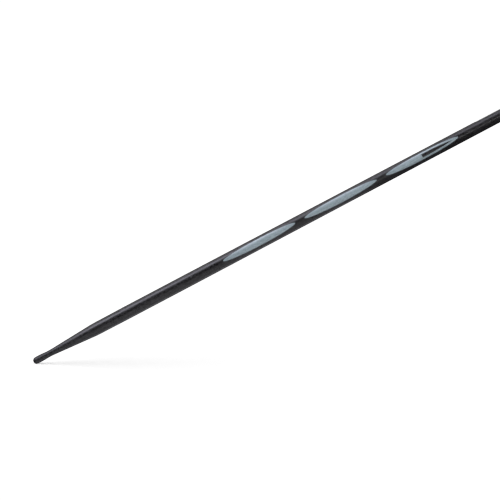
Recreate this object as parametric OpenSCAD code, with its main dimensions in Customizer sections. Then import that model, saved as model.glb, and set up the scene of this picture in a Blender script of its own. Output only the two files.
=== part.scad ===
// Drop-tipped needle, moulded in two shots: a pale core inside a dark skin.
// The core reaches the surface through lens-shaped windows, in rows around the shaft.
// The needle lies along X and rests on z = 0. The origin is under its middle.
// Stations are distances in mm along the needle from its near end, at -X.

/* [Needle] */
// Overall length, end to end
needle_len = 200; // [190:1:230]
// Diameter of the gauge length, the parallel stretch that sets the nominal size
gauge_d = 3.67; // [3.62:0.01:3.9]
// Station where the gauge length starts
gauge_start = 30; // [26:1:34]
// Length of the gauge length
gauge_len = 22; // [18:1:24]
// Diameter where the near taper rounds into the shaft
near_shoulder_d = 3.55; // [3.5:0.01:3.6]
// Diameter where the far taper rounds into the shaft
far_shoulder_d = 3.28; // [3.2:0.01:3.5]
// How soon the shaft slims past the gauge length: 1 is a straight cone, less is sooner
slim_power = 0.9; // [0.8:0.01:0.96]

/* [Tips] */
// Diameter of the drop on each end
drop_d = 1.9; // [1.86:0.02:1.94]
// Distance from the end to the widest point of the drop
drop_at = 2.1; // [1.9:0.1:2.2]
// Diameter of the neck behind the drop
neck_d = 1.66; // [1.62:0.02:1.7]
// Distance from the end to the neck
neck_at = 5.1; // [5:0.1:5.6]
// Radius of the hollow sweep that leads out of the neck
neck_sweep = 20; // [14:1:20]
// Half-angle of the long taper, in degrees
taper_angle = 3.85; // [3.7:0.05:4]
// Radius that rounds the taper into the shaft
shoulder_sweep = 45; // [20:5:60]

/* [Skin and core] */
// Wall of the dark skin over the core
skin_wall = 0.7; // [0.6:0.05:0.8]
// Distance from each end to the blunt nose of the core
core_inset = 14; // [12:1:16]
// Diameter of the core's blunt nose
core_nose_d = 1; // [0.8:0.1:1.2]

/* [Windows] */
// Length of one window
window_len = 23.45; // [20:0.05:24]
// Width of one window, measured straight across
window_w = 2.04; // [1.6:0.02:2.2]
// Spacing of the windows along a row
window_pitch = 26.5; // [25:0.1:28]
// Windows in a row
window_count = 3; // [1:1:3]
// Rows around the shaft
row_count = 3; // [1:1:3]
// How far the front row is turned up from level, in degrees
row_roll = 15; // [-30:1:30]

/* [Dart] */
// Length of the dark dart set in the front row's last window
dart_len = 10; // [6:0.1:10]
// Width of the dart across its square end
dart_w = 1.06; // [0.6:0.02:1.1]
// How full the dart's sides are: 1 is a plain wedge, more is fuller
dart_bow = 2.2; // [1.2:0.1:2.4]
// Depth of the dart's pocket
dart_depth = 0.8; // [0.6:0.05:0.9]

/* [Hidden] */

$fn = 96;
window_points = 48;
dart_points = 12;
arc_points = 14;
shaft_bands = 26;
overshoot = 1;

gauge_r = gauge_d / 2;
gauge_end = gauge_start + gauge_len;
near_shoulder_r = near_shoulder_d / 2;
far_shoulder_r = far_shoulder_d / 2;
drop_r = drop_d / 2;
neck_r = neck_d / 2;

// The drop's barrel and the hollow neck are arcs that meet on one tangent, and the
// round nose is a ball that meets the barrel on another.
bulge = drop_r - neck_r;
sweep_sum = (pow(neck_at - drop_at, 2) + pow(bulge, 2)) / (2 * bulge);
barrel_sweep = sweep_sum - neck_sweep;
barrel_y = drop_r - barrel_sweep;
neck_y = neck_r + neck_sweep;
nose_r = (pow(barrel_sweep, 2) - pow(drop_at, 2) - pow(barrel_y, 2)) / (2 * (barrel_sweep - drop_at));
nose_angle = atan2(-barrel_y, nose_r - drop_at);
flex_angle = atan2(neck_y - barrel_y, neck_at - drop_at);

// The straight taper starts where the neck's sweep has turned to the taper's angle.
taper_start = neck_at + neck_sweep * sin(taper_angle);
taper_start_r = neck_r + neck_sweep * (1 - cos(taper_angle));

near_shoulder_at = shoulder_station(near_shoulder_r);
far_shoulder_at = shoulder_station(far_shoulder_r);
far_shoulder_station = needle_len - far_shoulder_at;
band_len = (far_shoulder_station - gauge_end) / shaft_bands;
near_lead_angle = atan2(gauge_r - near_shoulder_r, gauge_start - near_shoulder_at);
far_lead_angle = atan2(shaft_r(far_shoulder_station - band_len) - far_shoulder_r, band_len);

last_window_x = (window_count - 1) / 2 * window_pitch;
last_window_r = shaft_r(needle_len / 2 + last_window_x);

// Distance from an end to the corner where its taper reaches radius r
function shoulder_station(r) = taper_start + (r - taper_start_r) / tan(taper_angle);

// Radius of the slimming shaft past the gauge length, at a station
function shaft_r(station) =
    let (share = (station - gauge_end) / (far_shoulder_station - gauge_end))
    gauge_r - (gauge_r - far_shoulder_r) * pow(share, slim_power);

// The shaft's outline over the core, from gauge length to far shoulder, moved in by inset
function shaft_outline(inset) = concat(
    [[gauge_start, gauge_r - inset]],
    [for (i = [0 : shaft_bands - 1]) let (station = gauge_end + i * band_len)
        [station, shaft_r(station) - inset]]);

// Points along an arc, from angle a0 to angle a1
function arc(centre, r, a0, a1) =
    [for (i = [0 : arc_points]) let (a = a0 + (a1 - a0) * i / arc_points)
        centre + r * [cos(a), sin(a)]];

// The rounded corner between the taper and a shaft that leads on at lead_angle
function shoulder(corner, lead_angle) =
    let (setback = shoulder_sweep * tan((taper_angle - lead_angle) / 2),
         start = corner - setback * [cos(taper_angle), sin(taper_angle)],
         centre = start + shoulder_sweep * [sin(taper_angle), -cos(taper_angle)])
    arc(centre, shoulder_sweep, 90 + taper_angle, 90 + lead_angle);

// One end's outline as [station, radius], from the end to past its shoulder
function end_outline(shoulder_r, lead_angle) = concat(
    arc([nose_r, 0], nose_r, 180, nose_angle),
    arc([drop_at, barrel_y], barrel_sweep, nose_angle, flex_angle),
    arc([neck_at, neck_y], neck_sweep, 180 + flex_angle, 270 + taper_angle),
    shoulder([shoulder_station(shoulder_r), shoulder_r], lead_angle));

// The same outline read from the far end, with its first point last
function mirrored(points) =
    [for (i = [len(points) - 1 : -1 : 0]) [needle_len - points[i][0], points[i][1]]];

// Turns an outline of [station, radius] about the needle's axis
module turned(outline) {
    translate([-needle_len / 2, 0, gauge_r])
        rotate([0, 90, 0])
            rotate_extrude()
                polygon([for (p = outline) [max(p[1], 0), p[0]]]);
}

// The whole outer shape of the needle
module outer_shape() {
    turned(concat(
        end_outline(near_shoulder_r, near_lead_angle),
        shaft_outline(0),
        mirrored(end_outline(far_shoulder_r, far_lead_angle))));
}

// The round rod inside the skin, with a blunt nose at each end
module core_rod() {
    turned(concat(
        [[core_inset, 0],
         [core_inset, core_nose_d / 2],
         [near_shoulder_at, near_shoulder_r - skin_wall]],
        shaft_outline(skin_wall),
        [[far_shoulder_station, far_shoulder_r - skin_wall],
         [needle_len - core_inset, core_nose_d / 2],
         [needle_len - core_inset, 0]]));
}

// Lifts an outline drawn in X and Y off the axis on one row's side, from one height up
module raised(x, row, from) {
    translate([x, 0, gauge_r])
        rotate([90 - row_roll - row * 360 / row_count, 0, 0])
            translate([0, 0, from])
                linear_extrude(gauge_r + overshoot - from)
                    children();
}

// The lens outline of one window, an ellipse
module window_outline() {
    polygon([for (i = [0 : window_points - 1]) let (a = 360 * i / window_points)
        [window_len / 2 * cos(a), window_w / 2 * sin(a)]]);
}

// Every window, as prisms that reach from the axis out through the skin
module window_prisms() {
    for (row = [0 : row_count - 1])
        for (i = [0 : window_count - 1])
            raised((i - (window_count - 1) / 2) * window_pitch, row, 0)
                window_outline();
}

// The dart's outline: a square end on the window's middle and two bowed sides
module dart_outline() {
    half = [for (i = [0 : dart_points]) let (t = i / dart_points)
        [dart_len * t, dart_w / 2 * (1 - pow(t, dart_bow))]];
    polygon(concat(half, [for (i = [dart_points - 1 : -1 : 0]) [half[i][0], -half[i][1]]]));
}

// The dart's pocket, as a prism out through the surface
module dart_prism() {
    raised(last_window_x, 0, last_window_r - dart_depth)
        dart_outline();
}

// Second shot: the dark skin, with both tips and an opening for each window
module skin() {
    color("#26252a")
        difference() {
            outer_shape();
            core_rod();
            window_prisms();
        }
}

// First shot: the pale core, with a land that fills each window flush
module core() {
    color("#83909a")
        difference() {
            union() {
                core_rod();
                intersection() {
                    outer_shape();
                    window_prisms();
                }
            }
            dart_prism();
        }
}

// The dark dart set flush in the last window of the front row
module dart_inlay() {
    color("#2c2b2f")
        intersection() {
            outer_shape();
            dart_prism();
        }
}

skin();
core();
dart_inlay();
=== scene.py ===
"""Looks of a drop-tipped needle moulded in two shots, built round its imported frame.

The needle lies along X with its gauge length towards -X, and rests on z = 0. Everything is
in metres. Stations are distances along the needle from its near end, and angles turn about
its axis, from 0 on the middle of a row of windows.
"""

import logging
import math
from collections.abc import Callable
from dataclasses import dataclass, replace
from enum import Enum
from itertools import pairwise

import bpy
from mathutils import Matrix, Quaternion, Vector


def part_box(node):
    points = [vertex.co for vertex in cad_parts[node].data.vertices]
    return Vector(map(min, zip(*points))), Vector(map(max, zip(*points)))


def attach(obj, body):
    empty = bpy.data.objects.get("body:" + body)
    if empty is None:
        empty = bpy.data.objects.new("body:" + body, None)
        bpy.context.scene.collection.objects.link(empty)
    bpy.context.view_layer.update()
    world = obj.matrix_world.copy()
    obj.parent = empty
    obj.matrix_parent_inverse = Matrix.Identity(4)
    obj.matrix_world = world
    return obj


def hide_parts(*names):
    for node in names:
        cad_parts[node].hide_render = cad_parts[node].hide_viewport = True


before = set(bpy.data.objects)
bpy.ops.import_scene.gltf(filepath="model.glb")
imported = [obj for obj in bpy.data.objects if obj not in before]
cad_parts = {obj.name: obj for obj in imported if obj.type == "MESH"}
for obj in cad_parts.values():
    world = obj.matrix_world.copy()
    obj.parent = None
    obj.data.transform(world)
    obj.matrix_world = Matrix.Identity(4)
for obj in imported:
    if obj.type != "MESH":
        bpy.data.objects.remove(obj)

LOG = logging.getLogger("needle")
MM = 0.001
SAME_POINT = 2e-6  # vertices closer than this are one vertex
AT_NOSE = 1e-6  # how close to a blunt nose a vertex lies that belongs to it
NEAR_SURFACE = 0.1 * MM  # how close to the outer surface a rim's vertices lie
NEAR_RIM = math.radians(0.5)  # how close to a window's edge a rim's vertices lie
ON_SEAM = 1e-4  # how close to the line between two rows a vertex lies that is on it
AT_TIP = 1e-4  # share of a window's half length that still counts as its very tip
ROUNDING = 1e-9  # keeps a rounding error from adding a station
SHARP = math.radians(40)  # edges that turn more than this are shaded sharp
RIM_TURN = math.radians(60)  # edges that turn more than this can be rims

Obj = bpy.types.Object
Link = bpy.types.NodeSocket
Outline = list[tuple[float, float]]
AngleAt = Callable[[float], float]
EdgeTest = Callable[[Vector, Vector], bool]


class Slot(Enum):
    """The record's material slots."""

    SKIN = "dark_skin"
    CORE = "pale_core"
    DART = "dark_inlay"


def evenly(start: float, stop: float, step: float) -> list[float]:
    """Even stations from start to stop.

    Args:
        start: The first station.
        stop: The last station.
        step: The widest spacing allowed.

    Returns:
        The stations, with both ends.
    """
    count = max(1, math.ceil((stop - start) / step - ROUNDING))
    return [start + (stop - start) * i / count for i in range(count + 1)]


# ---------------------------------------------------------------- shape of the needle


@dataclass(frozen=True)
class EndForm:
    """One end of the needle: a drop, a neck and a long taper. Distances run from the end."""

    drop_radius: float = 0.95 * MM
    drop_at: float = 2.1 * MM
    neck_radius: float = 0.83 * MM
    neck_at: float = 5.1 * MM
    neck_sweep: float = 20 * MM
    taper: float = math.radians(3.85)
    shoulder_sweep: float = 45 * MM
    nose_step: float = math.radians(7)
    curve_step: float = 0.25 * MM
    taper_step: float = 1.2 * MM
    shoulder_step: float = 0.3 * MM

    @property
    def barrel_sweep(self) -> float:
        """Radius of the drop's barrel, an arc that meets the neck's arc on one tangent."""
        bulge = self.drop_radius - self.neck_radius
        return ((self.neck_at - self.drop_at) ** 2 + bulge**2) / (2 * bulge) - self.neck_sweep

    @property
    def nose(self) -> float:
        """Radius of the round nose, a ball that meets the barrel on one tangent."""
        barrel, drop = self.barrel_sweep, self.drop_radius
        return (barrel**2 - self.drop_at**2 - (drop - barrel) ** 2) / (2 * (barrel - self.drop_at))

    @property
    def nose_end(self) -> float:
        """Where the nose meets the barrel."""
        barrel = self.barrel_sweep
        return self.nose + (self.nose - self.drop_at) * self.nose / (barrel - self.nose)

    @property
    def flex(self) -> float:
        """Where the barrel meets the neck's sweep."""
        barrel = self.barrel_sweep
        return self.drop_at + (self.neck_at - self.drop_at) * barrel / (barrel + self.neck_sweep)

    @property
    def taper_start(self) -> tuple[float, float]:
        """Distance and radius where the straight taper starts.

        Returns:
            The distance from the end, and the radius there.
        """
        return (
            self.neck_at + self.neck_sweep * math.sin(self.taper),
            self.neck_radius + self.neck_sweep * (1 - math.cos(self.taper)),
        )

    def shoulder_at(self, radius: float) -> float:
        """Distance to the corner where the taper would reach a radius."""
        start, start_radius = self.taper_start
        return start + (radius - start_radius) / math.tan(self.taper)

    def setback(self, lead: float) -> float:
        """Half the length of the arc that rounds the shoulder's corner."""
        return self.shoulder_sweep * math.tan((self.taper - lead) / 2)

    def radius_at(self, at: float, shoulder: float, lead: float) -> float:
        """Radius of the needle near this end.

        Args:
            at: Distance from the end.
            shoulder: Radius at the shoulder's corner.
            lead: Angle at which the shaft leads on from the shoulder.

        Returns:
            The radius there.
        """
        corner, back = self.shoulder_at(shoulder), self.setback(lead)
        if at <= self.nose_end:
            return math.sqrt(max(self.nose**2 - (at - self.nose) ** 2, 0))
        if at <= self.flex:
            barrel = self.barrel_sweep
            return self.drop_radius - barrel + math.sqrt(barrel**2 - (at - self.drop_at) ** 2)
        start, start_radius = self.taper_start
        if at <= start:
            sweep = self.neck_sweep
            return self.neck_radius + sweep - math.sqrt(sweep**2 - (at - self.neck_at) ** 2)
        arc_start = corner - back * math.cos(self.taper)
        if at <= arc_start:
            return start_radius + (at - start) * math.tan(self.taper)
        if at <= corner + back * math.cos(lead):
            sweep = self.shoulder_sweep
            middle = arc_start + sweep * math.sin(self.taper)
            base = shoulder - back * math.sin(self.taper) - sweep * math.cos(self.taper)
            return base + math.sqrt(sweep**2 - (at - middle) ** 2)
        return shoulder + (at - corner) * math.tan(lead)

    def stations(self, shoulder: float, lead: float) -> list[float]:
        """Distances that follow this end's curves closely, from the end past the shoulder.

        Args:
            shoulder: Radius at the shoulder's corner.
            lead: Angle at which the shaft leads on from the shoulder.

        Returns:
            The distances, in order.
        """
        nose_turn = math.acos(1 - self.nose_end / self.nose)
        nose = [self.nose * (1 - math.cos(a)) for a in evenly(0, nose_turn, self.nose_step)]
        corner, back = self.shoulder_at(shoulder), self.setback(lead)
        return (
            nose
            + evenly(self.nose_end, self.taper_start[0], self.curve_step)[1:]
            + evenly(self.taper_start[0], corner - back, self.taper_step)[1:]
            + evenly(corner - back, corner + back, self.shoulder_step)[1:]
        )


@dataclass(frozen=True)
class NeedleForm:
    """The whole turned needle: its ends, its shaft and the core inside."""

    length: float
    gauge_radius: float
    end: EndForm = EndForm()
    gauge_start: float = 30 * MM
    gauge_length: float = 22 * MM
    near_shoulder: float = 1.775 * MM
    far_shoulder: float = 1.64 * MM
    slim_power: float = 0.9
    lead_length: float = 5 * MM
    skin_wall: float = 0.7 * MM
    core_inset: float = 14 * MM
    core_nose: float = 0.5 * MM
    gauge_step: float = 2 * MM
    shaft_step: float = 1.5 * MM
    rod_step: float = 3 * MM

    @property
    def gauge_end(self) -> float:
        """Station where the gauge length ends and the shaft starts to slim."""
        return self.gauge_start + self.gauge_length

    @property
    def near_lead(self) -> float:
        """Angle at which the shaft leads on from the near shoulder."""
        run = self.gauge_start - self.end.shoulder_at(self.near_shoulder)
        return math.atan2(self.gauge_radius - self.near_shoulder, run)

    @property
    def far_station(self) -> float:
        """Station of the far shoulder's corner."""
        return self.length - self.end.shoulder_at(self.far_shoulder)

    @property
    def far_lead(self) -> float:
        """Angle at which the shaft leads on from the far shoulder."""
        rise = self.slim_radius(self.far_station - self.lead_length) - self.far_shoulder
        return math.atan2(rise, self.lead_length)

    def slim_radius(self, station: float) -> float:
        """Radius of the slimming shaft at a station past the gauge length."""
        share = (station - self.gauge_end) / (self.far_station - self.gauge_end)
        return self.gauge_radius - (self.gauge_radius - self.far_shoulder) * share**self.slim_power

    def radius_at(self, station: float) -> float:
        """Outer radius of the needle at a station.

        Args:
            station: Distance from the near end.

        Returns:
            The radius there.
        """
        if station <= self.gauge_start:
            return self.end.radius_at(station, self.near_shoulder, self.near_lead)
        if station <= self.gauge_end:
            return self.gauge_radius
        if station <= self.far_station - self.lead_length:
            return self.slim_radius(station)
        return self.end.radius_at(self.length - station, self.far_shoulder, self.far_lead)

    def core_radius_at(self, station: float) -> float:
        """Radius of the rod inside the skin at a station.

        Args:
            station: Distance from the near end.

        Returns:
            The rod's radius there.
        """
        ends = (
            (self.core_inset, self.end.shoulder_at(self.near_shoulder), self.near_shoulder),
            (self.length - self.core_inset, self.far_station, self.far_shoulder),
        )
        for nose, shoulder, radius in ends:
            share = (station - nose) / (shoulder - nose)
            if share < 1:
                return self.core_nose + (radius - self.skin_wall - self.core_nose) * share
        return self.radius_at(station) - self.skin_wall

    def stations(self, marks: list[float]) -> list[float]:
        """Stations for the outer surface.

        Args:
            marks: Stations of the windows, which the surface has to follow.

        Returns:
            Every station from end to end, in order.
        """
        near = self.end.stations(self.near_shoulder, self.near_lead)
        far = [self.length - s for s in self.end.stations(self.far_shoulder, self.far_lead)]
        return (
            near
            + evenly(near[-1], self.gauge_start, self.gauge_step)[1:]
            + evenly(self.gauge_start, self.gauge_end, self.gauge_step)[1:]
            + evenly(self.gauge_end, marks[0], self.shaft_step)[1:-1]
            + marks
            + evenly(marks[-1], far[-1], self.shaft_step)[1:-1]
            + far[::-1]
        )

    def core_stations(self, marks: list[float]) -> list[float]:
        """Stations for the rod inside, from nose to nose.

        Args:
            marks: Stations of the windows, which the rod's ridges follow.

        Returns:
            Every station, in order.
        """
        near, far = self.end.shoulder_at(self.near_shoulder), self.far_station
        return (
            evenly(self.core_inset, near, self.shaft_step)
            + evenly(near, self.gauge_start, self.rod_step)[1:]
            + evenly(self.gauge_start, self.gauge_end, self.rod_step)[1:]
            + evenly(self.gauge_end, marks[0], self.rod_step)[1:-1]
            + marks
            + evenly(marks[-1], far, self.rod_step)[1:]
            + evenly(far, self.length - self.core_inset, self.shaft_step)[1:]
        )


@dataclass(frozen=True)
class WindowRow:
    """The lens-shaped windows of one row, and the dart in the last of them."""

    form: NeedleForm
    rows: int = 3
    count: int = 3
    length: float = 23.45 * MM
    width: float = 2.04 * MM
    pitch: float = 26.5 * MM
    steps: int = 40
    roll: float = math.radians(15)
    dart_length: float = 10 * MM
    dart_width: float = 1.06 * MM
    dart_depth: float = 0.8 * MM
    dart_bow: float = 2.2
    dart_tip_clear: float = 0.1 * MM
    gap_step: float = 0.6 * MM

    @property
    def sector(self) -> float:
        """Half the angle that one row takes up."""
        return math.pi / self.rows

    def centre(self, index: int) -> float:
        """Station of a window's middle."""
        return self.form.length / 2 + (index - (self.count - 1) / 2) * self.pitch

    @property
    def dart_start(self) -> float:
        """Station of the dart's square end, on the last window's middle."""
        return self.centre(self.count - 1)

    @property
    def dart_tip(self) -> float:
        """Station of the dart's point."""
        return self.dart_start + self.dart_length

    def window_stations(self, index: int) -> list[float]:
        """Stations along one window, closer together towards its ends.

        Args:
            index: Which window, from 0 at the near end.

        Returns:
            Its stations in order, with both ends.
        """
        middle, half = self.centre(index), self.length / 2
        found = [middle - half * math.cos(math.pi * i / self.steps) for i in range(self.steps + 1)]
        if index == self.count - 1:
            clear = [s for s in found if abs(s - self.dart_tip) > self.dart_tip_clear]
            found = sorted([*clear, self.dart_tip])
        return found

    def marks(self) -> list[float]:
        """Stations of every window and of the stretches between them.

        Returns:
            The stations, in order.
        """
        found = self.window_stations(0)
        for index in range(1, self.count):
            window = self.window_stations(index)
            found += evenly(found[-1], window[0], self.gap_step)[1:-1] + window
        return found

    def half_angle(self, station: float) -> float:
        """Half the angle that a window opens at a station, or 0 where there is no window.

        Args:
            station: Distance from the near end.

        Returns:
            The angle from the row's middle to the window's edge.
        """
        for index in range(self.count):
            share = (station - self.centre(index)) / (self.length / 2)
            if abs(share) < 1 - AT_TIP:
                across = self.width / 2 * math.sqrt(1 - share**2)
                return math.asin(across / self.form.radius_at(station))
        return 0.0

    def guide_angle(self, station: float) -> float:
        """Angle of the dart's side, led on to the window's near end as a guide for faces.

        Args:
            station: Distance from the near end.

        Returns:
            The angle from the row's middle.
        """
        square_end = math.asin(self.dart_width / 2 / self.form.radius_at(self.dart_start))
        share = (station - self.dart_start) / self.dart_length
        if share <= 0:
            return square_end * self.half_angle(station) / self.half_angle(self.dart_start)
        if share >= 1 - AT_TIP:
            return 0.0
        across = self.dart_width / 2 * (1 - share**self.dart_bow)
        return math.asin(across / self.form.radius_at(station))


def middle_line(_: float) -> float:
    """Angle of the middle of a row of windows, the same at every station."""
    return 0.0


# ---------------------------------------------------------------- the modelling bench


class Bench:
    """Mesh tools, used on one object at a time. The needle's axis is the X axis here."""

    @staticmethod
    def mode(name: str) -> None:
        """Switches the active object to object mode or edit mode."""
        bpy.ops.object.mode_set(mode=name)

    @classmethod
    def clear(cls) -> None:
        """Leaves edit mode and deselects every object."""
        if bpy.context.object and bpy.context.object.mode != "OBJECT":
            cls.mode("OBJECT")
        bpy.ops.object.select_all(action="DESELECT")

    @classmethod
    def take(cls, piece: Obj, *others: Obj) -> None:
        """Selects a piece and any others, and makes the first one active.

        Args:
            piece: The object to make active.
            others: More objects to select.
        """
        cls.clear()
        for one in (piece, *others):
            one.select_set(True)
        bpy.context.view_layer.objects.active = piece

    @classmethod
    def edit(cls, piece: Obj, select: str = "SELECT") -> None:
        """Opens a piece in edit mode with all of it selected, or none of it.

        Args:
            piece: The object to open.
            select: SELECT for all of it, or DESELECT for none.
        """
        cls.take(piece)
        cls.mode("EDIT")
        bpy.ops.mesh.select_mode(type="VERT")
        bpy.ops.mesh.select_all(action=select)

    @classmethod
    def draw(cls, name: str, outline: Outline) -> Obj:
        """Draws an outline as a row of edges, by extruding one point along it.

        Args:
            name: The new object's name.
            outline: Stations and radii, in order.

        Returns:
            The new object, left in edit mode.
        """
        cls.clear()
        bpy.ops.mesh.primitive_plane_add(size=MM)
        piece = bpy.context.object
        piece.name = piece.data.name = name
        cls.edit(piece)
        bpy.ops.mesh.merge(type="CENTER")
        station, radius = outline[0]
        bpy.ops.transform.translate(value=(station, 0, radius))
        for (before, low), (after, high) in pairwise(outline):
            step = {"value": (after - before, 0, high - low)}
            bpy.ops.mesh.extrude_region_move(TRANSFORM_OT_translate=step)
        return piece

    @classmethod
    def strip(cls, name: str, outline: Outline, low: AngleAt, high: AngleAt, columns: int
              ) -> Obj:
        """Turns an outline into a strip of faces between two lines along the needle.

        Args:
            name: The new object's name.
            outline: Stations and radii, in order.
            low: The angle where the strip starts, at a station.
            high: The angle where it ends.
            columns: Faces across the strip.

        Returns:
            The strip, in object mode.
        """
        piece, quarter = cls.draw(name, outline), math.pi / 2
        bpy.ops.mesh.select_all(action="SELECT")
        bpy.ops.mesh.spin(steps=columns, angle=quarter, center=(0, 0, 0), axis=(1, 0, 0))
        cls.mode("OBJECT")
        for vertex in piece.data.vertices:
            station, across, up = vertex.co
            share = abs(math.atan2(across, up)) / quarter
            angle = low(station) + share * (high(station) - low(station))
            radius = math.hypot(across, up)
            vertex.co = (station, radius * math.sin(angle), radius * math.cos(angle))
        cls.weld(piece)
        return piece

    @classmethod
    def weld(cls, piece: Obj) -> None:
        """Merges a piece's doubled vertices and turns its faces outwards.

        Args:
            piece: The object to mend.
        """
        cls.edit(piece)
        bpy.ops.mesh.remove_doubles(threshold=SAME_POINT)
        bpy.ops.mesh.normals_make_consistent(inside=False)
        cls.mode("OBJECT")

    @classmethod
    def join(cls, piece: Obj, *others: Obj) -> None:
        """Joins other objects into a piece and welds it.

        Args:
            piece: The object that takes the others in.
            others: The objects that it takes in.
        """
        cls.take(piece, *others)
        bpy.ops.object.join()
        cls.weld(piece)

    @classmethod
    def select_edges(cls, piece: Obj, wanted: EdgeTest, border: bool) -> None:
        """Opens a piece in edit mode with some of its edges selected.

        Args:
            piece: The object to open.
            wanted: Says from an edge's two ends whether it is wanted.
            border: Whether only the edges of open borders count, or only sharp ones.
        """
        cls.edit(piece, "DESELECT")
        bpy.ops.mesh.select_mode(type="EDGE")
        if border:
            bpy.ops.mesh.select_non_manifold(use_wire=False, use_multi_face=False,
                                             use_non_contiguous=False, use_verts=False)
        else:
            bpy.ops.mesh.edges_select_sharp(sharpness=RIM_TURN)
        cls.mode("OBJECT")
        mesh = piece.data
        keep = [
            edge.select and wanted(*(mesh.vertices[v].co for v in edge.vertices))
            for edge in mesh.edges
        ]
        cls.mode("EDIT")
        bpy.ops.mesh.select_all(action="DESELECT")
        cls.mode("OBJECT")
        for edge, chosen in zip(mesh.edges, keep):
            edge.select = chosen
        cls.mode("EDIT")

    @classmethod
    def round_edges(cls, piece: Obj, wanted: EdgeTest, size: float) -> None:
        """Rounds a piece's sharp edges that are wanted, with a small bevel.

        Args:
            piece: The object to bevel.
            wanted: Says from an edge's two ends whether it is wanted.
            size: Width of the bevel on each face.
        """
        cls.select_edges(piece, wanted, border=False)
        bpy.ops.mesh.bevel(offset=size, segments=2, profile=0.5, affect="EDGES")
        cls.mode("OBJECT")

    @classmethod
    def mirror(cls, piece: Obj) -> None:
        """Mirrors half a row to the other side of the row's middle line.

        Args:
            piece: Half a row, on one side of the row's middle line.
        """
        cls.take(piece)
        bpy.ops.object.modifier_add(type="MIRROR")
        modifier = piece.modifiers[-1]
        modifier.use_axis = (False, True, False)
        modifier.merge_threshold = SAME_POINT
        bpy.ops.object.modifier_apply(modifier=modifier.name)
        cls.weld(piece)

    @staticmethod
    def turn(angle: float) -> None:
        """Turns what is selected about the needle's axis."""
        bpy.ops.transform.rotate(value=angle, orient_axis="X", center_override=(0, 0, 0))

    @classmethod
    def repeat_round(cls, piece: Obj, rows: int) -> None:
        """Copies one row round the axis until the turn is full.

        Args:
            piece: One whole row.
            rows: How many rows the full turn holds.
        """
        cls.edit(piece)
        for _ in range(rows - 1):
            bpy.ops.mesh.duplicate()
            cls.turn(2 * math.pi / rows)
        cls.mode("OBJECT")
        cls.weld(piece)

    @classmethod
    def place(cls, piece: Obj, windows: WindowRow) -> None:
        """Puts a finished piece where the frame has it, with its place in its mesh.

        Args:
            piece: The finished mesh, with the needle's axis on the X axis.
            windows: The row of windows, which knows the needle's form and roll.
        """
        cls.take(piece)
        form = windows.form
        turn = Matrix.Rotation(math.pi / 2 - windows.roll, 4, "X")
        piece.matrix_world = Matrix.Translation((-form.length / 2, 0, form.gauge_radius)) @ turn
        bpy.ops.object.transform_apply(location=True, rotation=True, scale=True)
        bpy.ops.object.shade_smooth_by_angle(angle=SHARP)
        cls.clear()


# ---------------------------------------------------------------- finishes

MIX_INPUTS = (0, 6, 7)  # which of a Mix node's inputs are its share and its two colours
MIX_RESULT = 2  # which of its outputs is the mixed colour
IOR = 1.49  # how strongly the plastics bend light


def linear(code: str) -> tuple[float, float, float, float]:
    """A colour such as 26252a as linear light, with alpha.

    Args:
        code: Six hexadecimal digits.

    Returns:
        Red, green, blue and alpha from 0 to 1.
    """
    shares = [int(code[i : i + 2], 16) / 255 for i in (0, 2, 4)]
    light = [((s + 0.055) / 1.055) ** 2.4 if s > 0.04045 else s / 12.92 for s in shares]
    return (light[0], light[1], light[2], 1.0)


class Nodes:
    """Adds nodes to one tree and links them."""

    def __init__(self, tree: bpy.types.NodeTree) -> None:
        """Starts on a tree, such as a material's or a group's."""
        self.tree = tree

    def add(self, kind: str, values: dict | None = None, **settings: object) -> bpy.types.Node:
        """Adds a node.

        Args:
            kind: Its type, without the leading ShaderNode.
            values: What goes into each input: a number, a colour or another node's output.
            settings: The node's own settings.

        Returns:
            The node.
        """
        node = self.tree.nodes.new("ShaderNode" + kind)
        for name, value in settings.items():
            setattr(node, name, value)
        for name, value in (values or {}).items():
            self.feed(node.inputs[name], value)
        return node

    def feed(self, socket: Link, value: object) -> None:
        """Gives a socket a value, or links another node's output to it.

        Args:
            socket: The input to set.
            value: A number, a colour or another node's output.
        """
        if isinstance(value, Link):
            self.tree.links.new(value, socket)
        else:
            socket.default_value = value

    def math(self, operation: str, *values: object) -> Link:
        """Adds a Math node and returns its result.

        Args:
            operation: What the node does, such as MULTIPLY.
            values: Its inputs, in order.

        Returns:
            The node's output.
        """
        node = self.add("Math", operation=operation)
        for socket, value in zip(node.inputs, values):
            self.feed(socket, value)
        return node.outputs[0]

    def ramp(self, value: object, low: float, high: float) -> Link:
        """Fades smoothly from 0 to 1 as a value goes from low to high.

        Args:
            value: What is read.
            low: The value that gives 0.
            high: The value that gives 1.

        Returns:
            The faded value.
        """
        node = self.add("MapRange", {"Value": value, "From Min": low, "From Max": high},
                        interpolation_type="SMOOTHSTEP")
        return node.outputs["Result"]

    def blend(self, share: object, first: object, second: object) -> Link:
        """Mixes two colours and returns the result.

        Args:
            share: How much of the second colour is taken.
            first: The first colour.
            second: The second colour.

        Returns:
            The mixed colour.
        """
        node = self.add("Mix", data_type="RGBA")
        for index, value in zip(MIX_INPUTS, (share, first, second)):
            self.feed(node.inputs[index], value)
        return node.outputs[MIX_RESULT]

    def noise(self, place: object, scale: object, **inputs: float) -> Link:
        """Adds a noise pattern, with its other inputs by name, and returns its strength."""
        return self.add("TexNoise", {"Vector": place, "Scale": scale, **inputs}).outputs["Fac"]

    def stretch(self, vector: object, scale: tuple[float, float, float]) -> Link:
        """Scales a place by its own amount on each axis, and returns the result."""
        return self.add("Mapping", {"Vector": vector, "Scale": scale}).outputs[0]


class Socket(Enum):
    """The kinds of socket that the effects use."""

    VALUE = "NodeSocketFloat"
    COLOUR = "NodeSocketColor"
    PLACE = "NodeSocketVector"


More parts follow.
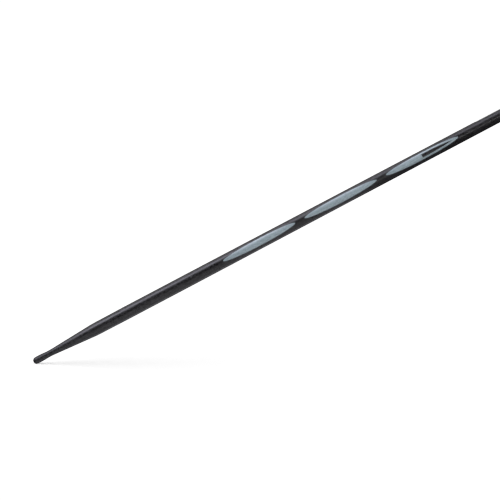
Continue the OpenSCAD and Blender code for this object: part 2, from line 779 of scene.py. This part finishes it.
class Group(Nodes):
    """A node group in the making. Each one takes a place on the piece and other inputs."""

    def __init__(self, name: str, **takes: Socket) -> None:
        """Starts a group and gives it its inputs.

        Args:
            name: The group's name.
            takes: The kind of each input, by the input's name.
        """
        super().__init__(bpy.data.node_groups.new(name, "ShaderNodeTree"))
        for label, kind in {"Place": Socket.PLACE, **takes}.items():
            self.tree.interface.new_socket(name=label, in_out="INPUT", socket_type=kind.value)
        self.given = self.tree.nodes.new("NodeGroupInput").outputs
        self.place = self.given["Place"]

    def give(self, **results: Link) -> bpy.types.NodeTree:
        """Links results to the group's outputs and returns the group.

        Args:
            results: What each output gives, by the output's name.

        Returns:
            The finished group.
        """
        sink = self.tree.nodes.new("NodeGroupOutput")
        for label, result in results.items():
            kind = Socket.COLOUR if result.type == "RGBA" else Socket.VALUE
            self.tree.interface.new_socket(name=label, in_out="OUTPUT", socket_type=kind.value)
            self.feed(sink.inputs[label], result)
        return self.tree


class Effects:
    """Surface effects that every plastic of the needle shares, each a node group made once.

    A pair of numbers says between which values of a pattern its mask fades in.
    """

    PITS, PIT_PITCH = (0.05, 0.42), 0.75
    FLECKS, FLECK_PITCH = (0.35, 0.68), 0.8
    STREAKS, STREAK_SCALES, STREAK_SHARE = (0.36, 0.66), (70.0, 900.0, 900.0), 0.6
    CLOUDS, CLOUD_SCALE = (0.3, 0.7), 190.0
    RIM, RIM_PATCHES = (0.1, 0.95), (0.38, 0.6)
    SCUFFS, SCUFF_SCALES = (0.56, 0.74), (2600.0, 240.0, 240.0)
    SCUFF_PATCHES, PATCH_SCALE = (0.45, 0.65), 1500.0
    DULL_TIP = (26 * MM, 3 * MM)
    SPECKS, BARE_SHARE = (0.11, 0.05), 0.8

    def __init__(self) -> None:
        """Makes the groups."""
        self.grain = self._grain()
        self.flow = self._flow()
        self.wear = self._wear()
        self.dust = self._dust()

    def _grain(self) -> bpy.types.NodeTree:
        """Spark-eroded mould grain: small soft bumps, with pits and flecks among them.

        Returns:
            The group, with the outputs Height and Fleck.
        """
        group = Group("mould_grain", Pitch=Socket.VALUE, Pits=Socket.VALUE)
        place, pitch = group.place, group.given["Pitch"]
        bumps = group.noise(place, pitch, Detail=3.0, Roughness=0.6)
        finer = group.math("MULTIPLY", pitch, self.PIT_PITCH)
        cells = group.add("TexVoronoi", {"Vector": place, "Scale": finer})
        pits = group.ramp(cells.outputs["Distance"], *self.PITS)
        floor = group.math("MULTIPLY", pits, group.given["Pits"])
        coarser = group.math("MULTIPLY", pitch, self.FLECK_PITCH)
        flecks = group.noise(place, coarser, Detail=1.0)
        return group.give(Height=group.math("ADD", bumps, floor),
                          Fleck=group.ramp(flecks, *self.FLECKS))

    def _flow(self) -> bpy.types.NodeTree:
        """Colour that varies softly, drawn out along the needle as the melt flowed.

        Returns:
            The group, with the outputs Colour and Cloud.
        """
        group = Group("melt_flow", Colour=Socket.COLOUR, Streak=Socket.COLOUR,
                      Amount=Socket.VALUE)
        drawn = group.stretch(group.place, self.STREAK_SCALES)
        streaks = group.noise(drawn, 1.0, Detail=4.0, Roughness=0.55, Distortion=0.4)
        clouds = group.noise(group.place, self.CLOUD_SCALE, Detail=3.0)
        both = group.math("MULTIPLY_ADD", streaks, self.STREAK_SHARE,
                          group.math("MULTIPLY", clouds, 1 - self.STREAK_SHARE))
        share = group.math("MULTIPLY", group.ramp(both, *self.STREAKS), group.given["Amount"])
        colour = group.blend(share, group.given["Colour"], group.given["Streak"])
        return group.give(Colour=colour, Cloud=group.ramp(clouds, *self.CLOUDS))

    def _wear(self) -> bpy.types.NodeTree:
        """Rubbing: masks for worn rims, for tips dulled by use and for faint scuffs.

        Returns:
            The group, with the outputs Rim, Tip and Scuff.
        """
        group = Group("handling", Edge=Socket.VALUE, Half=Socket.VALUE)
        patches = group.noise(group.place, self.PATCH_SCALE, Detail=3.0)
        worn = group.ramp(patches, *self.RIM_PATCHES)
        rim = group.math("MULTIPLY", group.ramp(group.given["Edge"], *self.RIM), worn)
        parts = group.add("SeparateXYZ", {"Vector": group.place})
        from_middle = group.math("ABSOLUTE", parts.outputs["X"])
        to_end = group.math("SUBTRACT", group.given["Half"], from_middle)
        around = group.stretch(group.place, self.SCUFF_SCALES)
        scratches = group.noise(around, 1.0, Detail=5.0, Roughness=0.7)
        scuff = group.math("MULTIPLY", group.ramp(scratches, *self.SCUFFS),
                           group.ramp(patches, *self.SCUFF_PATCHES))
        return group.give(Rim=rim, Tip=group.ramp(to_end, *self.DULL_TIP), Scuff=scuff)

    def _dust(self) -> bpy.types.NodeTree:
        """A few pale specks of dust and lint.

        Returns:
            The group, with the output Speck.
        """
        group = Group("dust_specks", Spread=Socket.VALUE)
        specks = group.add("TexVoronoi", {"Vector": group.place, "Randomness": 1.0,
                                          "Scale": group.given["Spread"]})
        near = group.ramp(specks.outputs["Distance"], *self.SPECKS)
        chosen = group.add("SeparateColor", {"Color": specks.outputs["Color"]})
        few = group.math("GREATER_THAN", chosen.outputs["Red"], self.BARE_SHARE)
        return group.give(Speck=group.math("MULTIPLY", near, few))


@dataclass(frozen=True)
class Plastic:
    """A matte moulded plastic: its colours, its sheen and how deep its grain is."""

    name: str
    colour: str
    streak: str
    worn: str
    streaks: float
    roughness: float
    flecked: float
    flecks: float
    tip_matte: float
    pitch: float
    pits: float
    grain: float
    specular: float = 0.5
    dust: float = 0.5
    dust_colour: str = "a9aaae"
    dust_spread: float = 620.0
    rim_wear: float = 0.6
    scuff_wear: float = 0.22
    clouded: float = 0.5
    rim_polish: float = -0.05
    tip_smoothing: float = -0.55

    def make(self, effects: Effects, half_length: float) -> bpy.types.Material:
        """Makes the material.

        Args:
            effects: The shared effects.
            half_length: Half the needle's length, which tells where its tips are.

        Returns:
            The material, with every pattern on Object coordinates.
        """
        material = bpy.data.materials.new(self.name)
        material.use_nodes = True
        material.node_tree.nodes.clear()
        nodes = Nodes(material.node_tree)
        place = nodes.add("TexCoord").outputs["Object"]
        edge = nodes.add("Attribute", attribute_name="edge").outputs["Fac"]
        grain = nodes.add("Group", {"Place": place, "Pitch": self.pitch, "Pits": self.pits},
                          node_tree=effects.grain)
        flow = nodes.add("Group", {"Place": place, "Colour": linear(self.colour),
                                   "Streak": linear(self.streak), "Amount": self.streaks},
                         node_tree=effects.flow)
        wear = nodes.add("Group", {"Place": place, "Edge": edge, "Half": half_length},
                         node_tree=effects.wear)
        dust = nodes.add("Group", {"Place": place, "Spread": self.dust_spread},
                         node_tree=effects.dust)
        rim, tip, scuff = (wear.outputs[n] for n in ("Rim", "Tip", "Scuff"))
        rubbed = nodes.math("MAXIMUM", nodes.math("MULTIPLY", rim, self.rim_wear),
                            nodes.math("MULTIPLY", scuff, self.scuff_wear))
        fleck = nodes.math("MULTIPLY", grain.outputs["Fleck"], self.flecks)
        colour = nodes.blend(nodes.math("MAXIMUM", rubbed, fleck), flow.outputs["Colour"],
                             linear(self.worn))
        speck = nodes.math("MULTIPLY", dust.outputs["Speck"], self.dust)
        colour = nodes.blend(speck, colour, linear(self.dust_colour))
        rough = self.roughness
        for mask, amount in (
            (grain.outputs["Fleck"], self.flecked),
            (flow.outputs["Cloud"], self.flecked * self.clouded),
            (tip, self.tip_matte),
            (rim, self.rim_polish),
            (scuff, self.flecked),
        ):
            rough = nodes.math("MULTIPLY_ADD", mask, amount, rough)
        smooth = nodes.math("MULTIPLY_ADD", tip, self.tip_smoothing, 1.0)
        height = nodes.math("MULTIPLY", grain.outputs["Height"], smooth)
        bump = nodes.add("Bump", {"Height": height, "Strength": 1.0, "Distance": self.grain})
        shader = nodes.add("BsdfPrincipled", {"Base Color": colour, "Roughness": rough,
                                              "Normal": bump.outputs["Normal"], "IOR": IOR,
                                              "Specular IOR Level": self.specular})
        nodes.add("OutputMaterial", {"Surface": shader.outputs[0]})
        return material


class Finish(Enum):
    """The needle's three plastics."""

    SKIN = Plastic("satin_black_skin", colour="100f10", streak="171617", worn="39383a",
                   streaks=0.7, roughness=0.25, flecked=0.1, flecks=0.4, tip_matte=0.16,
                   pitch=2400.0, pits=0.5, grain=0.000019)
    CORE = Plastic("pale_blue_grey_core", colour="859398", streak="8d9ba1", worn="6f7b82",
                   streaks=0.7, roughness=0.26, flecked=0.08, flecks=0.5, tip_matte=0.0,
                   pitch=2400.0, pits=0.3, grain=0.000014, specular=0.72, dust=0.35)
    DART = Plastic("black_inlay", colour="1e1d1e", streak="242324", worn="343336",
                   streaks=0.6, roughness=0.27, flecked=0.08, flecks=0.2, tip_matte=0.0,
                   pitch=2600.0, pits=0.4, grain=0.000016)


# ---------------------------------------------------------------- the needle's pieces


@dataclass
class Shell:
    """What the skin and the core share: the walls and the rod where the two shots meet."""

    windows: WindowRow
    rim_round: float = 0.02 * MM
    rod_columns: int = 10
    ridge_share: float = 0.985
    wear_reach: float = 0.12 * MM
    wear_depth: float = 0.06 * MM

    @property
    def form(self) -> NeedleForm:
        """The turned form that the windows are cut in."""
        return self.windows.form

    def half_width(self, station: float) -> float:
        """Half a window's width at a station, or 0 outside the windows."""
        return self.form.radius_at(station) * math.sin(self.windows.half_angle(station))

    def rod_radius(self, station: float) -> float:
        """Radius where the shots meet below the skin: the rod's, or a ridge's between two rows.

        Args:
            station: Distance from the near end.

        Returns:
            The radius there.
        """
        ridge = self.half_width(station) / math.sin(self.windows.sector)
        rod = self.form.core_radius_at(station)
        return ridge if ridge > rod * self.ridge_share else rod

    def rod_angle(self, station: float) -> float:
        """Angle from a window's middle to its wall, down on the rod."""
        return math.asin(min(1.0, self.half_width(station) / self.rod_radius(station)))

    def rod(self) -> Obj:
        """Makes half a row of the surface where the shots meet, below the skin.

        Returns:
            A strip of faces from a window's wall to the line between two rows.
        """
        stations = self.form.core_stations(self.windows.marks())
        outline = [(s, self.rod_radius(s)) for s in stations]
        return Bench.strip("rod", outline, self.rod_angle, lambda _: self.windows.sector,
                           self.rod_columns)

    def on_rim(self, start: Vector, end: Vector) -> bool:
        """Whether an edge lies on a window's rim, up on the outer surface.

        Args:
            start: One end of the edge.
            end: Its other end.

        Returns:
            Whether both ends lie on the rim.
        """
        if not self.on_top(start, end) or not self.windows.half_angle((start.x + end.x) / 2):
            return False
        return all(
            abs(abs(math.atan2(p.y, p.z)) - self.windows.half_angle(p.x)) < NEAR_RIM
            for p in (start, end)
        )

    def on_top(self, start: Vector, end: Vector) -> bool:
        """Whether an edge lies up on the outer surface.

        Args:
            start: One end of the edge.
            end: Its other end.

        Returns:
            Whether both ends lie on that surface.
        """
        return all(
            abs(math.hypot(p.y, p.z) - self.form.radius_at(p.x)) < NEAR_SURFACE
            for p in (start, end)
        )

    def walls(self, piece: Obj) -> None:
        """Draws the walls down from the rims of a piece's windows to the rod.

        Args:
            piece: Half a row of outer surface or of lands.
        """
        Bench.select_edges(piece, self.on_rim, border=True)
        bpy.ops.mesh.extrude_region_move()
        Bench.mode("OBJECT")
        for vertex in piece.data.vertices:
            if vertex.select:
                radius = self.rod_radius(vertex.co.x)
                vertex.co.z = math.sqrt(max(radius**2 - vertex.co.y**2, 0))

    def cap_ends(self, piece: Obj) -> None:
        """Closes the rod's two blunt noses.

        Args:
            piece: The piece whose rod is open at both ends.
        """
        inset = self.form.core_inset
        for station in (inset, self.form.length - inset):
            Bench.select_edges(
                piece,
                lambda a, b, at=station: abs(a.x - at) < AT_NOSE and abs(b.x - at) < AT_NOSE,
                border=True,
            )
            bpy.ops.mesh.edge_face_add()
            Bench.mode("OBJECT")

    def paint_edges(self, piece: Obj) -> None:
        """Stores how close each vertex is to a rim, for the wear in its finish.

        Args:
            piece: The piece, before it is put in its place.
        """
        edge = piece.data.attributes.new("edge", "FLOAT", "POINT")
        turn = 2 * self.windows.sector
        for vertex, value in zip(piece.data.vertices, edge.data):
            station, across, up = vertex.co
            middle = self.windows.half_angle(station)
            angle = abs((math.atan2(across, up) + turn / 2) % turn - turn / 2)
            radius = self.form.radius_at(station)
            away = abs(angle - middle) * radius
            deep = radius - math.hypot(across, up)
            near = middle > 0 and deep < self.wear_depth
            value.value = max(0.0, 1 - away / self.wear_reach) if near else 0.0

    def finished(self, piece: Obj, on_rim: EdgeTest) -> Obj:
        """Rounds a piece's rims, stores where they wear and puts the piece in its place.

        Args:
            piece: The welded mesh.
            on_rim: Says from an edge's two ends whether it is rounded.

        Returns:
            The same piece.
        """
        Bench.round_edges(piece, on_rim, self.rim_round)
        self.paint_edges(piece)
        Bench.place(piece, self.windows)
        return piece


@dataclass
class Skin(Shell):
    """The second shot: a black wall round the core, with both tips, open at the windows."""

    columns: int = 20
    seam_height: float = 0.012 * MM
    seam_fade: float = 4 * MM

    def seam(self, piece: Obj) -> None:
        """Raises the fine parting line that runs between two rows.

        Args:
            piece: Half a row of the outer surface.
        """
        for vertex in piece.data.vertices:
            station, across, up = vertex.co
            if abs(abs(math.atan2(across, up)) - self.windows.sector) < ON_SEAM:
                ends = min(station, self.form.length - station)
                rise = self.seam_height * min(1.0, ends / self.seam_fade)
                radius = math.hypot(across, up)
                if radius > SAME_POINT:
                    vertex.co.yz = Vector((across, up)) * (1 + rise / radius)

    def build(self) -> Obj:
        """Models the skin and puts it in its place.

        Returns:
            The finished mesh, without its finish.
        """
        windows = self.windows
        outline = [(s, self.form.radius_at(s)) for s in self.form.stations(windows.marks())]
        piece = Bench.strip("skin_shell", outline, windows.half_angle,
                            lambda _: windows.sector, self.columns)
        self.seam(piece)
        self.walls(piece)
        Bench.join(piece, self.rod())
        Bench.mirror(piece)
        Bench.repeat_round(piece, windows.rows)
        self.cap_ends(piece)
        Bench.weld(piece)
        return self.finished(piece, self.on_any_rim)

    def on_any_rim(self, start: Vector, end: Vector) -> bool:
        """Whether an edge lies on the rim of a window in any row.

        Args:
            start: One end of the edge.
            end: Its other end.

        Returns:
            Whether both ends lie on one rim.
        """
        turn = 2 * self.windows.sector
        angle = math.atan2(start.y + end.y, start.z + end.z)
        row = Matrix.Rotation(round(angle / turn) * turn, 3, "X")
        return self.on_rim(row @ start, row @ end)


@dataclass
class Core(Shell):
    """The first shot: a pale rod with a raised land for each window, one with a pocket."""

    land_columns: int = 12
    beside_columns: int = 8
    pocket_columns: int = 6

    def lands(self, with_pocket: bool) -> list[Obj]:
        """Makes half a row of lands, flush with the outer surface.

        Args:
            with_pocket: Whether the last land is split along the dart's side.

        Returns:
            A strip of faces for each land, and one more for the dart's place.
        """
        windows, made = self.windows, []
        for index in range(windows.count):
            outline = [(s, self.form.radius_at(s)) for s in windows.window_stations(index)]
            pocketed = with_pocket and index == windows.count - 1
            low = windows.guide_angle if pocketed else middle_line
            columns = self.beside_columns if pocketed else self.land_columns
            made.append(Bench.strip("land", outline, low, windows.half_angle, columns))
            if pocketed:
                inner = [point for point in outline if point[0] <= windows.dart_tip + SAME_POINT]
                made.append(Bench.strip("land", inner, middle_line, low, self.pocket_columns))
        return made

    def row(self, with_pocket: bool) -> Obj:
        """Makes one whole row: its lands, their walls and its share of the rod.

        Args:
            with_pocket: Whether the last land is split along the dart's side.

        Returns:
            The row, open at its noses and at its sides.
        """
        piece, *others = self.lands(with_pocket)
        Bench.join(piece, *others)
        self.walls(piece)
        Bench.join(piece, self.rod())
        Bench.mirror(piece)
        return piece

    def build(self) -> Obj:
        """Models the core and puts it in its place.

        Returns:
            The finished mesh, without its finish.
        """
        turn = 2 * self.windows.sector
        front = self.row(with_pocket=True)
        Pocket(self.windows).sink(front)
        sides = []
        for side in (1, -1):
            row = self.row(with_pocket=False)
            Bench.edit(row)
            Bench.turn(side * turn)
            Bench.mode("OBJECT")
            sides.append(row)
        Bench.join(front, *sides)
        front.name = front.data.name = "core_rod"
        self.cap_ends(front)
        Bench.weld(front)
        return self.finished(front, self.on_top)


@dataclass
class Pocket:
    """The pocket in the front row's last land, and the dart that fills it."""

    windows: WindowRow

    @property
    def floor(self) -> float:
        """Height of the pocket's flat floor above the needle's axis."""
        return self.windows.form.radius_at(self.windows.dart_start) - self.windows.dart_depth

    def inside(self, centre: Vector) -> bool:
        """Whether a face's centre lies within the dart's outline.

        Args:
            centre: The middle of the face.

        Returns:
            Whether it does.
        """
        start, tip = self.windows.dart_start, self.windows.dart_tip
        if not start < centre.x < tip or centre.z < self.floor:
            return False
        angle = abs(math.atan2(centre.y, centre.z))
        return angle < self.windows.guide_angle(centre.x)

    def drop(self, piece: Obj) -> None:
        """Extrudes the selected faces down to the floor.

        Args:
            piece: The object, in edit mode with the faces selected.
        """
        bpy.ops.mesh.extrude_region_move()
        Bench.mode("OBJECT")
        for vertex in piece.data.vertices:
            if vertex.select:
                vertex.co.z = self.floor
        Bench.weld(piece)

    def sink(self, core_row: Obj) -> None:
        """Sinks the pocket in a whole row of the core.

        Args:
            core_row: The front row, before the others are joined to it.
        """
        Bench.edit(core_row, "DESELECT")
        bpy.ops.mesh.select_mode(type="FACE")
        Bench.mode("OBJECT")
        for face in core_row.data.polygons:
            face.select = self.inside(face.center)
        Bench.mode("EDIT")
        self.drop(core_row)


@dataclass
class Dart(Shell):
    """The dark dart set in the pocket, flush with the land round it."""

    columns: int = 8
    tip_clear: float = 0.02 * MM

    def build(self) -> Obj:
        """Models the dart and puts it in its place.

        Returns:
            The finished mesh, without its finish.
        """
        windows = self.windows
        start, tip = windows.dart_start, windows.dart_tip
        stations = windows.window_stations(windows.count - 1)
        inside = [s for s in stations if start < s < tip - self.tip_clear]
        outline = [(s, self.form.radius_at(s)) for s in [start, *inside, tip]]
        piece = Bench.strip("dart_insert", outline, middle_line, windows.guide_angle,
                            self.columns)
        Bench.mirror(piece)
        Bench.edit(piece)
        bpy.ops.mesh.select_mode(type="FACE")
        bpy.ops.mesh.select_all(action="SELECT")
        Pocket(windows).drop(piece)
        return self.finished(piece, self.on_top)


# ---------------------------------------------------------------- the stage

WHITE = (1.0, 1.0, 1.0)
COOL = (1.0, 1.0, 1.15)
KEY_MATTE_SHARE = 0.66  # how much of a key light's strength reaches matte shading
AREA_WATTS = 4  # watts to the square metre that give an area light a radiance of 1


class Role(Enum):
    """What a light is for: to be reflected, only to lighten, or to throw the shadow."""

    KEY = "key"
    FILL = "fill"
    VEIL = "veil"


@dataclass(frozen=True)
class Softbox:
    """A soft rectangular light, seen only in what it lights.

    Its angle, in degrees, is measured up from the camera's side of the needle, over the top
    to its back.
    """

    name: str
    angle: float
    distance: float
    along: float
    across: float
    radiance: float
    offset: float = 0.0
    role: Role = Role.KEY
    colour: tuple[float, float, float] = WHITE

    def place(self, middle: Vector) -> None:
        """Hangs the light round a point of the needle, facing it.

        A key light is only reflected, and a weaker twin does its share of matte shading.

        Args:
            middle: The point that the light is hung round.
        """
        angle = math.radians(self.angle)
        away = Vector((0, -math.cos(angle), math.sin(angle)))
        Bench.clear()
        bpy.ops.object.light_add(type="AREA", location=middle + away * self.distance
                                 + Vector((self.offset, 0, 0)))
        light = bpy.context.object
        light.name = self.name
        light.data.shape = "RECTANGLE"
        light.data.size, light.data.size_y = self.along, self.across
        light.data.energy = self.radiance * AREA_WATTS * self.along * self.across
        light.data.color = self.colour
        light.data.use_shadow = self.role is Role.VEIL
        light.data.cycles.use_multiple_importance_sampling = self.role is not Role.FILL
        light.rotation_euler = (math.pi / 2 - angle, 0, 0)
        light.visible_camera = False
        light.visible_glossy = self.role is Role.KEY
        if self.role is Role.KEY:
            light.visible_diffuse = False
            replace(self, name=self.name + "_fill", role=Role.FILL,
                    radiance=self.radiance * KEY_MATTE_SHARE).place(middle)


@dataclass(frozen=True)
class Camera:
    """The camera: where it looks, from how far and how high, and its roll."""

    look_at: float = -29.9 * MM
    below_axis: float = 0.605 * MM
    elevation: float = math.radians(8.5)
    roll: float = math.radians(27.85)
    distance: float = 1.5
    view_width: float = 144 * MM

    def place(self, axis_height: float) -> None:
        """Creates the camera and makes it the scene's.

        Args:
            axis_height: Height of the needle's axis.
        """
        Bench.clear()
        up = Vector((0, math.sin(self.elevation), math.cos(self.elevation)))
        target = Vector((self.look_at, 0, axis_height)) - up * self.below_axis
        away = Vector((0, -math.cos(self.elevation), math.sin(self.elevation)))
        bpy.ops.object.camera_add(location=target + away * self.distance)
        camera = bpy.context.object
        camera.name = "view_camera"
        camera.data.lens = camera.data.sensor_width * self.distance / self.view_width
        turn = (-away).to_track_quat("-Z", "Y") @ Quaternion((0, 0, 1), -self.roll)
        camera.rotation_mode = "QUATERNION"
        camera.rotation_quaternion = turn
        bpy.context.scene.camera = camera


@dataclass
class Studio:
    """A pale floor that the near tip touches, a white surround and soft lights."""

    camera: Camera = Camera()
    tip_radius: float = 0.9 * MM
    floor_length: float = 0.26
    bounce_length: float = 0.125
    floor_width: float = 1.3
    floor_past_tip: float = 1.0 * MM
    white: float = 1.06
    ambient: float = 0.03
    floor_paint: float = 0.8
    bounce_paint: float = 0.55
    bounce_drop: float = 0.2 * MM
    paint_roughness: float = 0.9
    lights: tuple[Softbox, ...] = (
        Softbox("overhead_softbox", 80, distance=0.6, along=1.2, across=0.4, radiance=1.5,
                colour=COOL),
        Softbox("overhead_heart", 80, distance=0.45, along=0.22, across=0.3, radiance=2.35,
                offset=-0.09, colour=COOL),
        Softbox("backdrop_glow", 142, distance=0.7, along=1.4, across=0.9, radiance=0.45),
        Softbox("front_horizon", 0, distance=0.15, along=0.16, across=0.009, radiance=5.0,
                offset=0.10),
        Softbox("low_fill", -45, distance=1.0, along=1.0, across=1.0, radiance=1.75,
                offset=0.05, role=Role.FILL),
        Softbox("back_fill", 160, distance=1.0, along=1.0, across=1.0, radiance=0.5,
                role=Role.FILL),
        Softbox("high_veil", 90, distance=0.6, along=1.5, across=1.5, radiance=1.25,
                offset=0.15, role=Role.VEIL),
    )

    def sheet(self, name: str, tip: Vector, length: float, shade: float) -> Obj:
        """Lays a tilted sheet that the tip's round nose touches.

        Args:
            name: The sheet's name.
            tip: The middle of the tip's round nose.
            length: How far the sheet reaches along the needle.
            shade: How much light its grey paint sends back, from 0 to 1.

        Returns:
            The sheet, marked as part of the stage.
        """
        Bench.clear()
        tilt = self.camera.roll
        slope = Vector((math.cos(tilt), 0, -math.sin(tilt)))
        touch = tip - Vector((math.sin(tilt), 0, math.cos(tilt))) * self.tip_radius
        middle = touch + slope * (length / 2 - self.floor_past_tip)
        bpy.ops.mesh.primitive_plane_add(size=1, location=middle, rotation=(0, tilt, 0))
        sheet = bpy.context.object
        sheet.name = name
        sheet.scale = (length, self.floor_width, 1)
        sheet.data.materials.append(self.paint(name + "_paint", shade))
        return sheet

    def paint(self, name: str, shade: float) -> bpy.types.Material:
        """Makes a plain matte grey paint.

        Args:
            name: The paint's name.
            shade: How much light it sends back, from 0 to 1.

        Returns:
            The paint.
        """
        material = bpy.data.materials.new(name)
        material.use_nodes = True
        shader = material.node_tree.nodes["Principled BSDF"]
        shader.inputs["Base Color"].default_value = (shade, shade, shade, 1)
        shader.inputs["Roughness"].default_value = self.paint_roughness
        return material

    def floor(self, tip: Vector) -> None:
        """Lays the pale floor under the tip, and a sheet that bounces light up further on.

        Args:
            tip: The middle of the tip's round nose.
        """
        floor = self.sheet("pale_floor", tip, self.floor_length, self.floor_paint)
        floor.is_shadow_catcher = True
        floor.visible_diffuse = floor.visible_glossy = False
        bounce = self.sheet("bounce_sheet", tip - Vector((0, 0, self.bounce_drop)),
                            self.bounce_length, self.bounce_paint)
        bounce.visible_camera = False

    def surround(self) -> None:
        """Makes the world white behind the needle and dim to everything that it lights."""
        world = bpy.data.worlds.new("white_surround")
        world.use_nodes = True
        world.node_tree.nodes.clear()
        nodes = Nodes(world.node_tree)
        seen = nodes.add("LightPath").outputs["Is Camera Ray"]
        level = nodes.add("MapRange", {"Value": seen, "To Min": self.ambient,
                                       "To Max": self.white})
        glow = nodes.add("Background", {"Color": (*WHITE, 1), "Strength": level.outputs[0]})
        nodes.add("OutputWorld", {"Surface": glow.outputs[0]})
        bpy.context.scene.world = world

    def build(self, low: Vector, high: Vector) -> None:
        """Sets up the whole stage.

        Args:
            low: The needle's lowest corner.
            high: Its highest corner.
        """
        axis = (low.z + high.z) / 2
        self.surround()
        self.camera.place(axis)
        self.floor(Vector((low.x + self.tip_radius, 0, axis)))
        for light in self.lights:
            light.place(Vector((self.camera.look_at, 0, axis)))
        bpy.context.scene.view_settings.view_transform = "Standard"


# ---------------------------------------------------------------- putting it together


def dress(piece: Obj, material: bpy.types.Material, node: str, slot: Slot) -> None:
    """Gives a piece its finish and ties it to the frame.

    Args:
        piece: The finished mesh.
        material: Its finish.
        node: The CAD node that it stands for.
        slot: The record's slot that the finish belongs to. It is not used.
    """
    piece.data.materials.clear()
    piece.data.materials.append(material)
    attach(piece, "root")
    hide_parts(node)
    LOG.info("%s: %d vertices, %d faces", piece.name, len(piece.data.vertices),
             len(piece.data.polygons))


def main() -> None:
    """Builds the needle in its frame, dresses it and sets the stage."""
    logging.basicConfig(level=logging.INFO, format="%(name)s: %(message)s")
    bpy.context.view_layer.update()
    low, high = (Vector(corner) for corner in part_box("skin"))
    form = NeedleForm(length=high.x - low.x, gauge_radius=(high.z - low.z) / 2)
    windows, effects = WindowRow(form), Effects()
    for piece, finish, node, slot in (
        (Core(windows).build(), Finish.CORE, "core", Slot.CORE),
        (Dart(windows).build(), Finish.DART, "dart_inlay", Slot.DART),
        (Skin(windows).build(), Finish.SKIN, "skin", Slot.SKIN),
    ):
        dress(piece, finish.value.make(effects, form.length / 2), node, slot)
    Studio().build(low, high)


if __name__ == "__main__":
    main()
